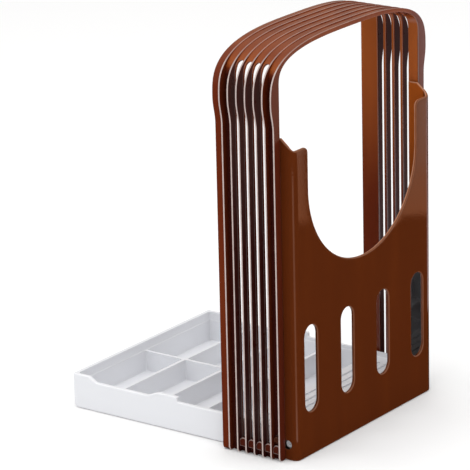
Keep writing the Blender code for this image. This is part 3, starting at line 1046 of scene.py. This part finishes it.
    def sill_surface(self, side: int) -> Surface:
        """Work out the round-topped bridges at the foot of one wall's gaps.

        Each reaches a quarter of a fin's thickness into the fins beside it.

        Args:
            side: 1 for the right wall, or -1 for the left one.

        Returns:
            The bridges as one surface.
        """
        half = self.fin_pitch / 2 - self.fin_thickness / 4
        start = self.inner_half + self.skin / 2
        place = depth_along(Axis.X, start if side > 0 else -start - self.sill_depth)
        sills = []
        for index in range(self.slot_first + self.slot_count):
            centre = self.gap_centre(index)
            foot = np.array([[centre - half, self.sill_bottom], [centre + half, self.sill_bottom]])
            dome = arc((centre, self.sill_top - half), half, 0, 180, steps=20)
            outline = np.concatenate([foot, dome])
            sills.append(Sheet([outline], self.sill_depth, self.sill_round, place).surface())
        made = merged(sills)
        # The sills' pale rims, worn and painted highlight, and their painted shade.
        made.rim *= self.sill_wear_and_highlight
        made.tone[:] = self.sill_painted_shade
        return made

    def make(self, material: bpy.types.Material, ribs: bpy.types.Material) -> None:
        """Build and dress every piece of the arch.

        Args:
            material: The polished plastic of the skin, the front fin, the rear band and the sills.
            ribs: The duller plastic of the fins behind the front one.
        """
        pieces = {"arch_skin": self.skin_surface(), "rear_band": self.band_surface()}
        pieces |= {f"guide_fin_{i + 1}": self.fin_surface(i) for i in range(self.fin_count)}
        pieces |= {"left_sills": self.sill_surface(-1), "right_sills": self.sill_surface(1)}
        dull = {f"guide_fin_{i + 1}" for i in range(1, self.fin_count)}
        for name, surface in pieces.items():
            finish = ribs if name in dull else material
            dress(surface.build(name), finish, Body.FRAME, Slot.FRAME, "slicing_frame")


@dataclass
class StopPlate:
    """The stop plate: a channel with a throat for the hand, four windows and a flange on each side."""

    thickness: float = 2.0
    flange: float = 1.8
    corner: float = 3.5
    horn_drop: float = 6.8
    horn_round: float = 3.5
    throat_half: float = 55.2
    throat_bottom: float = 104.0
    throat_curve: float = 53.0
    window_half: float = 6.4
    window_bottom: float = 26.0
    window_height: float = 51.6
    window_pitch: float = 36.6
    window_count: int = 4
    sight_hole: float = 2.75
    sight_taper: float = 0.75
    rim: float = 0.7
    hole_rim: float = 0.12
    # Pale rims and a pale lip behind the upper edges: partly worn plastic, partly a painted highlight.
    rim_wear_and_highlight: float = 0.3
    lip_reach: float = 1.0
    lip_rings: int = 3
    lip_wear_and_highlight: float = 0.9
    lip_painted_highlight: float = 0.75
    # Inside the flanges, painted shade below these heights turns to painted light above them.
    painted_light_from: float = 60.0
    painted_light_to: float = 165.0
    face_margin: float = 0.05
    corner_steps: int = 16
    flange_marks: int = 4
    edge_step: float = 1.0
    window_step: float = 3.0
    fill: Pair = (1.2, 6.0)
    half: float = field(init=False)
    front: float = field(init=False)
    back: float = field(init=False)
    height: float = field(init=False)

    def __post_init__(self) -> None:
        """Take the overall sizes from the frame."""
        low, high = local_box("stop_plate")
        self.half = float(high[0])
        self.front = float(low[1])
        self.back = float(high[1])
        self.height = float(high[2])

    def section(self) -> tuple[np.ndarray, np.ndarray, np.ndarray]:
        """Return the channel's outside seen from above: points, inward normals and distance along."""
        radius = self.corner
        left = arc((-self.half + radius, self.front + radius), radius, 180, 270, self.corner_steps)
        right = arc((self.half - radius, self.front + radius), radius, 270, 360, self.corner_steps)
        points = np.concatenate([[[-self.half, self.back]], left, right, [[self.half, self.back]]])
        quarter = np.linspace(180, 270, self.corner_steps + 1)
        turn = np.radians(np.concatenate([[180], quarter, quarter + 90, [360]]))
        inward = -np.stack([np.cos(turn), np.sin(turn)], axis=1)
        return points, inward, lengths(points)

    def surface(self) -> Surface:
        """Return the plate: a sheet drawn in (distance round the channel, z) and bent round it."""
        points, inward, along = self.section()
        total = along[-1]
        middle = total / 2

        def place(flat: np.ndarray, depth: np.ndarray) -> np.ndarray:
            """Place a point on the outside, moved inwards by its depth."""
            out, inner = (follow(flat[:, 0], along, line) for line in (points, inward))
            across = out + inner * self.wall(flat[:, 0], along)[:, None] * (depth / self.thickness)[:, None]
            return np.insert(across, Axis.Z, flat[:, 1], axis=1)

        marks = np.linspace(0, self.back, self.flange_marks)
        edge = np.unique(np.concatenate([along[along < middle], marks]))
        corner = middle - self.throat_half - self.horn_round
        edge = np.concatenate([edge[edge < corner - self.edge_step], [corner]])
        y = np.interp(edge, along, points[:, 1])
        top = self.height - self.horn_drop * np.clip(y / self.front, 0, 1)
        tip = arc((corner, top[-1] - self.horn_round), self.horn_round, 90, 0, steps=6)[1:]
        left_top = np.concatenate([np.stack([edge, top], axis=1), tip])
        right_top = left_top * [-1, 1] + [total, 0]
        throat = arc((0.0, 1.0), 1.0, 360, 180, steps=64) * [self.throat_half, self.throat_curve]
        throat += [middle, self.throat_bottom]
        outline = np.concatenate([[[0, 0], [total, 0]], right_top, throat, left_top[::-1]])
        loops = [even(outline, self.edge_step)]
        for index in range(self.window_count):
            centre = middle + (index - (self.window_count - 1) / 2) * self.window_pitch
            window = stadium(centre, self.window_bottom, self.window_bottom + self.window_height,
                             self.window_half)
            loops.append(even(window, self.window_step)[::-1])
        rims = [self.rim] * len(loops)
        tapers = [0.0] * len(loops)
        holes = ((PIN_AXIS, PIN_BORE, 0.0), (SIGHT_AXIS, self.sight_hole, self.sight_taper))
        for (hole_y, hole_z), radius, taper in holes:
            for centre in (self.back - hole_y, total - self.back + hole_y):
                loops.append(ring((centre, hole_z), radius)[::-1])
                rims.append(self.hole_rim)
                tapers.append(taper)
        made = Sheet(loops, self.thickness, rims, place, self.fill, tapers=tapers).surface()
        self.shade(made, len(loops[0]))
        return made

    def shade(self, made: Surface, count: int) -> None:
        """Set the painted light and shade, and the pale rims: painted shade in the sight holes' walls,
        painted shade low inside the flanges turning to painted light higher up, and a pale lip behind the
        upper edges, a painted highlight.

        The outline's rings are the surface's first points.  The lip's painted highlight lies, as pale rim
        colour, on the first rings of the inner rim, and, as painted light, on the two rings where the outer
        rim meets the inner one.

        Args:
            made: The plate's surface.
            count: How many points its outline has.
        """
        across, along, height = np.abs(made.points[:, 0]), made.points[:, 1], made.points[:, 2]
        reach = np.hypot(along - SIGHT_AXIS[0], height - SIGHT_AXIS[1])
        # Painted shade in the walls of the sight holes.
        made.tone[(across > self.half - self.thickness) & (reach < self.sight_hole + self.hole_rim / 2)] = 0.0
        inner_face = self.half - self.flange + self.face_margin
        inside_flange = (across < inner_face) & (along > self.front + self.corner)
        # Painted shade low inside the flanges, turning to painted light higher up.
        flange_painted_light = smooth(height, self.painted_light_from, self.painted_light_to)
        made.tone = np.where(inside_flange, flange_painted_light, made.tone)
        outer_ring = Sheet.steps
        rings = 2 * (outer_ring + 1)
        level = np.full(len(made.points), -1)
        level[:rings * count] = np.repeat(np.arange(rings), count)
        upper = height > self.throat_bottom - self.lip_reach
        # The pale rims, worn and painted highlight, and the lip's painted highlight.
        made.rim *= self.rim_wear_and_highlight
        made.rim[upper & (level > outer_ring) & (level <= outer_ring + self.lip_rings)] = self.lip_wear_and_highlight
        made.tone[upper & (level >= outer_ring) & (level <= outer_ring + 1)] = self.lip_painted_highlight

    def wall(self, distance: np.ndarray, along: np.ndarray) -> np.ndarray:
        """Work out the thickness: the flanges' at the ends, the front's between the corners.

        Args:
            distance: Distances round the channel.
            along: The distances of the section's own points.

        Returns:
            The thickness at each distance.
        """
        steps = self.corner_steps
        marks = along[[0, 1, steps + 1, steps + 2, 2 * steps + 2, -1]]
        return np.interp(distance, marks, np.repeat([self.flange, self.thickness, self.flange], 2))

    def make(self, material: bpy.types.Material) -> None:
        """Build and dress the plate."""
        dress(self.surface().build("stop_panel"), material, Body.FRAME, Slot.PLATE, "stop_plate")


@dataclass(frozen=True)
class Block:
    """A box with rounded upright corners and rounded edges, to cut with; x, y and z are its ranges."""

    name: str
    x: Pair
    y: Pair
    z: Pair
    radius: float
    edge_share: float = 0.6

    def build(self) -> bpy.types.Object:
        """Build the box; its edges are rounded by their share of the corners' radius."""
        right, left = self.x[1] - self.radius, self.x[0] + self.radius
        front, back = self.y[0] + self.radius, self.y[1] - self.radius
        corners = ((right, front), (right, back), (left, back), (left, front))
        outline = np.concatenate([arc(corner, self.radius, 90 * turn - 90, 90 * turn, steps=6)
                                  for turn, corner in enumerate(corners)])
        place = depth_along(Axis.Z, self.z[0])
        sheet = Sheet([outline], self.z[1] - self.z[0], self.edge_share * self.radius, place)
        return sheet.surface().build(self.name)


@dataclass
class FoldingTray:
    """The base tray: a moulded tray with tabs on its edges, a cutting deck, ribs and a round nose."""

    grooves: tuple[float, ...]
    wall: float = 2.2
    floor: float = 2.2
    low_edge: float = 17.9
    end_radius: float = 3.0
    end_tab: float = 10.4
    end_ramp: float = 7.0
    mid_tab: float = 79.0
    mid_length: float = 12.0
    mid_ramp: float = 10.5
    mid_step: float = 1.8
    nose_radius: float = 9.0
    nose_wall: float = 4.15
    nose_half: float = 57.5
    foot_step: float = 2.0
    side_step: float = 4.0
    trough_fillet: float = 1.5
    deck_top: float = 15.2
    deck_end: float = 33.2
    deck_thickness: float = 2.2
    hollow_fillet: float = 0.8
    groove_half: float = 0.8
    groove_depth: float = 0.9
    groove_margin: float = 7.8
    groove_fillet: float = 0.35
    rib: float = 1.8
    rows: int = 4
    cell_margin: float = 0.3
    cell_fillet: float = 1.0
    pocket: float = 4.0
    pocket_length: float = 6.0
    pocket_margin: float = 0.15
    pocket_fillet: float = 0.6
    bore_length: float = 3.0
    dimple: float = 0.9
    dimple_depth: float = 1.2
    dimple_floor: float = 0.5
    dimple_slope: float = 0.4
    edge_round: float = 0.7
    past_top: float = 1.0
    past_bottom: float = 3.0
    past_side: float = 2.0
    half: float = field(init=False)
    reach: float = field(init=False)
    high_edge: float = field(init=False)

    def __post_init__(self) -> None:
        """Take the overall sizes from the frame."""
        _, high = local_box("base_tray")
        self.half = float(high[0])
        self.reach = float(high[1])
        self.high_edge = float(high[2])

    @property
    def nose_start(self) -> float:
        """Where the trough starts behind the nose."""
        return PIN_AXIS[0] - self.nose_radius + self.nose_wall

    def edge_line(self) -> np.ndarray:
        """Return the top edge from the middle tab to the far end's tab, as rows of (y, height)."""
        end = self.reach - self.end_tab
        mid_end = self.mid_tab + self.mid_length
        radius = self.mid_step / 2
        return np.concatenate([
            arc((self.mid_tab - self.mid_step, self.low_edge + radius), radius, -90, 0, steps=8),
            arc((self.mid_tab, self.high_edge - radius), radius, 180, 90, steps=8),
            ease((mid_end, self.high_edge), (mid_end + self.mid_ramp, self.low_edge), steps=14),
            ease((end - self.end_ramp, self.low_edge), (end, self.high_edge)),
        ])

    def side_outline(self) -> np.ndarray:
        """Return the side: round the nose, along the table, up the far end and back over the edge."""
        start = math.degrees(math.asin((self.low_edge - PIN_AXIS[1]) / self.nose_radius))
        nose = arc(PIN_AXIS, self.nose_radius, 180 - start, 270, steps=28)
        heel = [[PIN_AXIS[0] + self.foot_step, 0.0]]
        end = arc((self.reach - self.end_radius, self.end_radius), self.end_radius, -90, 0, steps=10)
        return np.concatenate([nose, heel, end, [[self.reach, self.high_edge]], self.edge_line()[::-1]])

    def above(self, rank: int) -> float:
        """Return a cutter's top: each kind passes the edge by its own rank, so no two kinds end level."""
        return self.high_edge + rank * self.past_top

    def hollows(self) -> list[Block]:
        """Return the trough, its cells, the knife grooves, and the hollows under the nose and the deck."""
        inner = self.half - self.wall
        far = self.reach - self.wall
        side = inner - self.cell_margin
        long = inner - self.groove_margin
        hinge_end = PIN_AXIS[0] + self.pocket
        under = (-self.past_bottom, self.deck_top - self.deck_thickness)
        pitch = (far - self.deck_end + self.rib) / self.rows
        blocks = [Block("trough", (-inner, inner), (self.nose_start, far), (self.deck_top, self.above(4)),
                        self.trough_fillet)]
        for row in range(self.rows):
            near = self.deck_end + row * pitch
            y = (near, near + pitch - self.rib - self.cell_margin)
            for x in ((-side, -self.rib / 2), (self.rib / 2, side)):
                blocks.append(Block("cell", x, y, (self.floor, self.above(3)), self.cell_fillet))
        for centre in self.grooves:
            y = (centre - self.groove_half, centre + self.groove_half)
            z = (self.deck_top - self.groove_depth, self.above(2))
            blocks.append(Block("groove", (-long, long), y, z, self.groove_fillet))
        return [*blocks,
                Block("nose_hollow", (-self.nose_half, self.nose_half), (self.nose_start, hinge_end), under,
                      self.hollow_fillet),
                Block("deck_hollow", (-inner, inner), (hinge_end + self.wall, self.deck_end - self.wall),
                      under, self.hollow_fillet)]

    def hinge_cutters(self, side: int) -> list[bpy.types.Object]:
        """Build what is cut out of one end of the hinge: the pin's pocket, its bore and the dimple.

        Args:
            side: 1 for the right end, or -1 for the left one.

        Returns:
            The three objects.
        """
        y, z = PIN_AXIS
        inner = self.half - self.wall
        x = sorted((side * (inner - self.pocket_margin), side * (inner - self.pocket_length)))
        pocket = Block("pocket", (x[0], x[1]), (y - self.pocket, y + self.pocket),
                       (z - self.pocket, self.above(1)), self.pocket_fillet)
        start, end = inner - self.bore_length, self.half + self.past_side
        bore = np.array([[start, 0], [start, PIN_BORE], [end, PIN_BORE], [end, 0]])
        floor = self.half - self.dimple_depth
        dimple = np.array([[floor, 0], [floor, self.dimple_floor], [floor + self.dimple_slope, self.dimple],
                           [end, self.dimple], [end, 0]])
        return [pocket.build(), turned(bore, side, PIN_AXIS).build("bore"),
                turned(dimple, side, SIGHT_AXIS).build("dimple")]

    def make(self, material: bpy.types.Material) -> None:
        """Build and dress the tray."""
        outline = even(self.side_outline(), self.side_step)
        whole = Sheet([outline], 2 * self.half, self.edge_round, depth_along(Axis.X, -self.half))
        tray = whole.surface().build("crumb_tray")
        cutters = [block.build() for block in self.hollows()]
        for side in (-1, 1):
            cutters += self.hinge_cutters(side)
        cut(tray, cutters)
        dress(tray, material, Body.TRAY, Slot.TRAY, "base_tray")


@dataclass
class HingePins:
    """The two hinge pins: a shaft with a domed head outside and a collar inside."""

    radius: float = 2.0
    head_radius: float = 2.1
    head_length: float = 2.4
    head_round: float = 0.8
    collar_radius: float = 3.0
    collar_length: float = 1.6
    collar_round: float = 0.3
    sides: tuple[tuple[str, int], ...] = (("left", -1), ("right", 1))

    def surface(self, side: int) -> Surface:
        """Turn one pin from its section.

        Args:
            side: 1 for the right pin, or -1 for the left one.

        Returns:
            The closed surface.
        """
        low, high = local_box("right_hinge_pin")
        head, tail = float(high[0]), float(low[0])
        neck = head - self.head_length
        collar = tail + self.collar_length
        dome = arc((head - self.head_round, self.head_radius - self.head_round), self.head_round,
                   0, 90, steps=5)
        edge = arc((tail + self.collar_round, self.collar_radius - self.collar_round), self.collar_round,
                   90, 180, steps=4)
        profile = np.concatenate([
            [[head, 0.0]], dome, [[neck, self.head_radius], [neck, self.radius], [collar, self.radius],
                                  [collar, self.collar_radius]], edge, [[tail, 0.0]],
        ])
        return turned(profile, side, PIN_AXIS)

    def make(self, material: bpy.types.Material) -> None:
        """Build and dress both pins."""
        for word, side in self.sides:
            dress(self.surface(side).build(f"{word}_pivot"), material, Body.FRAME, Slot.PIN,
                  f"{word}_hinge_pin")


# The stage


@dataclass(frozen=True)
class Card:
    """A reflector card by the floor, which only the gloss sees.

    It is drawn along a heading from its origin.  Reach is where it starts and ends along the heading, and
    right and left are how far to the heading's left its two sides lie, at the start and at the end.  Its
    colour changes with the distance along the rise, or along the heading where no rise is given.
    """

    name: str
    heading: Pair
    reach: Pair
    right: Pair
    left: Pair
    fade: Stops
    rise: Pair | None = None
    origin: Pair = (0.0, 0.0)
    height: float = 0.0

    @property
    def start(self) -> np.ndarray:
        """The origin's X and Y in the frame."""
        return np.array(self.origin) + SHIFT[:2]

    def corners(self) -> np.ndarray:
        """Return the corners in the frame: out along the right side, and back along the left one."""
        heading = np.array(self.heading)
        along = np.array([*self.reach, *self.reach[::-1]])[:, None]
        across = np.array([*self.right, *self.left[::-1]])[:, None]
        flat = self.start + along * heading + across * [-heading[1], heading[0]]
        return np.insert(flat, Axis.Z, self.height, axis=1)


DARK: Colour = (0.03, 0.014, 0.009)
FROM_FRONT: Pair = (0.807, -0.590)
CARDS = (
    Card("plate_card", FROM_FRONT, reach=(200.0, 1000.0), right=(-60.0, -60.0), left=(52.6, 95.0), fade=(
        (400.0, DARK), (403.0, (0.90, 0.38, 0.20)), (490.0, (0.85, 0.43, 0.26)),
        (560.0, (0.80, 0.52, 0.38)), (700.0, (0.78, 0.55, 0.42))), rise=(0.731, -0.683)),
    Card("fin_flag", FROM_FRONT, reach=(395.0, 660.0), right=(-28.5, -28.5), left=(-10.0, -10.0), fade=(
        (0.0, DARK), (1.0, DARK)), height=0.1),
    Card("slot_card", FROM_FRONT, reach=(200.0, 1200.0), right=(53.0, 106.0), left=(140.0, 200.0), fade=(
        (0.0, (1.40, 1.20, 1.25)), (1.0, (1.40, 1.20, 1.25)))),
    Card("corner_card", (-0.590, -0.807), reach=(30.0, 560.0), right=(-9.0, -150.0), left=(9.0, 150.0), fade=(
        (30.0, (1.60, 1.10, 0.90)), (110.0, (1.10, 0.68, 0.48)), (560.0, (1.10, 0.72, 0.54))),
        origin=(-68.0, -7.0)),
    Card("flange_card", (-0.807, 0.590), reach=(290.0, 650.0), right=(42.3, 42.3), left=(45.5, 45.5), fade=(
        (290.0, DARK), (390.0, (0.72, 0.50, 0.52)), (650.0, (0.72, 0.50, 0.52)))),
)


@dataclass
class Studio:
    """The floor, the lights and the camera."""

    azimuth: float = -53.84
    elevation: float = 17.681
    roll: float = -1.32
    distance: float = 1899.4
    focal_pixels: float = 3300.0
    image_pixels: float = 470.0
    sensor: float = 36.0
    target: Triple = (0.0, 20.0, 110.0)
    shift_right: float = 51.185
    shift_up: float = -0.824
    floor_half: float = 20.0
    floor_drop: float = 0.0002
    floor_colour: Colour = (0.93, 0.93, 0.93)
    floor_roughness: float = 0.6
    floor_specular: float = 0.2
    light_place: Triple = (-0.3, -0.2, 1.6)
    light_aim: Triple = (0.0, 0.0, 0.1)
    light_size: float = 1.5
    light_power: float = 14.0
    sky: float = 0.9
    reflected: Stops = (
        (0.40, DARK), (0.475, (0.06, 0.04, 0.03)), (0.56, (0.34, 0.29, 0.24)),
        (0.75, (0.42, 0.36, 0.29)), (1.0, (0.60, 0.55, 0.48)))

    def camera(self) -> None:
        """Stand the camera where the view was taken from."""
        turn, lift, lean = (math.radians(a) for a in (self.azimuth, self.elevation, self.roll))
        back = Vector((math.sin(turn) * math.cos(lift), -math.cos(turn) * math.cos(lift), math.sin(lift)))
        level = Vector((math.cos(turn), math.sin(turn), 0.0))
        up = back.cross(level)
        right = math.cos(lean) * level + math.sin(lean) * up
        top = -math.sin(lean) * level + math.cos(lean) * up
        place = Vector(self.target) + self.distance * back - self.shift_right * right - self.shift_up * top
        place = place * MM + Vector((0.0, FRONT_Y, 0.0))
        data = bpy.data.cameras.new("camera")
        data.sensor_width = self.sensor
        data.lens = self.focal_pixels / self.image_pixels * self.sensor
        made = linked("camera", data)
        made.matrix_world = Matrix((
            (right.x, top.x, back.x, place.x), (right.y, top.y, back.y, place.y),
            (right.z, top.z, back.z, place.z), (0.0, 0.0, 0.0, 1.0)))
        bpy.context.scene.camera = made

    def flat(self, name: str, corners: np.ndarray, material: bpy.types.Material) -> bpy.types.Object:
        """Lay a four-cornered stage piece.

        Args:
            name: Its name.
            corners: Its four corners, in metres.
            material: Its material.

        Returns:
            The piece, marked as stage.
        """
        mesh = bpy.data.meshes.new(name)
        mesh.from_pydata(corners.tolist(), [], [(0, 1, 2, 3)])
        mesh.materials.append(material)
        made = linked(name, mesh)
        made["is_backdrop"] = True
        return made

    def floor(self) -> None:
        """Lay the pale floor; the gloss mirrors the studio below the horizon instead of it."""
        square = np.array([[-1, -1], [1, -1], [1, 1], [-1, 1]]) * self.floor_half
        corners = np.column_stack([square, np.full(4, -self.floor_drop)])
        material = Shader.material("pale_floor").finish({
            "Base Color": (*self.floor_colour, 1.0), "Roughness": self.floor_roughness,
            "Specular IOR Level": self.floor_specular})
        self.flat("floor", corners, material).visible_glossy = False

    def card(self, card: Card) -> None:
        """Lay a reflector card, whose light is a ramp over its distance along its rise.

        Args:
            card: The card.
        """
        rise = np.array(card.rise or card.heading)
        first, last = card.fade[0][0], card.fade[-1][0]
        scale = 1 / ((last - first) * MM)
        shader = Shader.material(card.name)
        distance = shader.socket("Value", "ShaderNodeVectorMath", {"operation": "DOT_PRODUCT"},
                                 {0: shader.coordinates("Object"), 1: (*(rise * scale), 0.0)})
        share = distance - (float(card.start @ rise) + first) * MM * scale
        stops = tuple(((mark - first) / (last - first), colour) for mark, colour in card.fade)
        material = shader.finish({
            "Base Color": (*BLACK, 1.0), "Specular IOR Level": 0.0,
            "Emission Color": shader.ramp(share, stops), "Emission Strength": 1.0})
        made = self.flat(card.name, card.corners() * MM, material)
        made.visible_camera = made.visible_diffuse = made.visible_transmission = made.visible_shadow = False

    def surroundings(self) -> None:
        """Light everything from a white sky, and give the gloss a warm room that is dark below."""
        world = bpy.data.worlds.new("studio")
        shader = Shader(world)
        height = shader.socket("Z", "ShaderNodeSeparateXYZ", {}, {0: shader.coordinates("Generated")})
        glossy = shader.socket("Is Glossy Ray", "ShaderNodeLightPath", {}, {})
        room = shader.ramp(height * 0.5 + 0.5, self.reflected)
        sky = (self.sky, self.sky, self.sky)
        bpy.context.scene.world = shader.finish({"Color": shader.mix(glossy, sky, room), "Strength": 1.0},
                                                "Background", "OutputWorld")

    def light(self) -> None:
        """Hang the square soft light, turned to the object."""
        data = bpy.data.lights.new("top_light", "AREA")
        data.size = self.light_size
        data.energy = self.light_power
        made = linked("top_light", data)
        made.location = self.light_place
        line = Vector(self.light_aim) - Vector(self.light_place)
        made.rotation_euler = line.to_track_quat("-Z", "Y").to_euler()
        made.visible_glossy = False

    def make(self) -> None:
        """Set up the whole studio."""
        self.camera()
        self.floor()
        for card in CARDS:
            self.card(card)
        self.surroundings()
        self.light()
        bpy.context.scene.view_settings.view_transform = "Standard"


def corners(box: tuple[Vector, Vector]) -> list[list[float]]:
    """Return a box's two corners as plain lists."""
    return [[float(value) for value in corner] for corner in box]


def main() -> None:
    """Build the pieces in order."""
    logging.basicConfig(level=logging.INFO, format="%(message)s")
    cad_box = corners(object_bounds())
    finishes = Finishes()
    arch = GuideArch()
    Studio().make()
    arch.make(finishes.frame.material(), finishes.ribs.material())
    StopPlate().make(finishes.plate.material())
    FoldingTray(arch.slot_centres).make(finishes.tray.material())
    HingePins().make(finishes.pin.material())
    bpy.context.view_layer.update()
    {"cad": cad_box, "visual": corners(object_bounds())}


if __name__ == "__main__":
    main()
